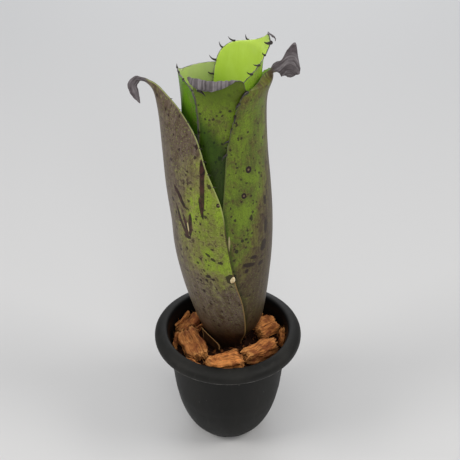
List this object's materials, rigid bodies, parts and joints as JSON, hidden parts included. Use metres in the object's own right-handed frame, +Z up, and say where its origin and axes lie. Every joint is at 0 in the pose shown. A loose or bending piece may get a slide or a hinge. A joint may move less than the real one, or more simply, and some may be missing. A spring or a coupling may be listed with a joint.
{
  "type": "potted tank bromeliad",
  "caption": "Potted tank bromeliad: stiff mottled leaves rolled into a tall open tube, standing in coconut husk in a round rolled-rim nursery pot.",
  "frame": {"origin": "centre of the pot's flat foot, on the surface that it stands on", "axes": "+Z up along the pot's axis and the leaf tube, -Y towards the side where the outer leaves' margins cross, +X towards the leaf with the flag-like dry tip"},
  "size_m": [0.1351, 0.125, 0.3671],
  "materials": {
    "charcoal_plastic": "matte moulded",
    "coconut_husk": "loose fibre",
    "husk_chip_fibre": "broken fibre",
    "stem_tissue": "dry plant tissue",
    "dry_bract": "dry plant tissue",
    "leaf_olive_purple": "satin living leaf",
    "leaf_olive_green": "satin living leaf",
    "leaf_mottled_green": "satin living leaf",
    "leaf_inner_green": "glossy inner leaf",
    "leaf_bright_green": "glossy inner leaf"
  },
  "bodies": {
    "root": {"pot": "charcoal_plastic", "potting_mix": "coconut_husk", "stem_base": "stem_tissue", "dry_bract": "dry_bract", "leaf_left_outer": "leaf_olive_purple", "leaf_right_outer": "leaf_olive_green", "leaf_front": "leaf_mottled_green", "leaf_back_left": "leaf_inner_green", "leaf_back_tall": "leaf_bright_green", "husk_chip_01": "husk_chip_fibre", "husk_chip_02": "husk_chip_fibre", "husk_chip_03": "husk_chip_fibre", "husk_chip_04": "husk_chip_fibre", "husk_chip_05": "husk_chip_fibre", "husk_chip_06": "husk_chip_fibre", "husk_chip_07": "husk_chip_fibre", "husk_chip_08": "husk_chip_fibre", "husk_chip_09": "husk_chip_fibre", "husk_chip_10": "husk_chip_fibre", "husk_chip_11": "husk_chip_fibre", "husk_chip_12": "husk_chip_fibre", "husk_chip_13": "husk_chip_fibre", "husk_chip_14": "husk_chip_fibre", "husk_chip_15": "husk_chip_fibre"}
  },
  "joints": []
}
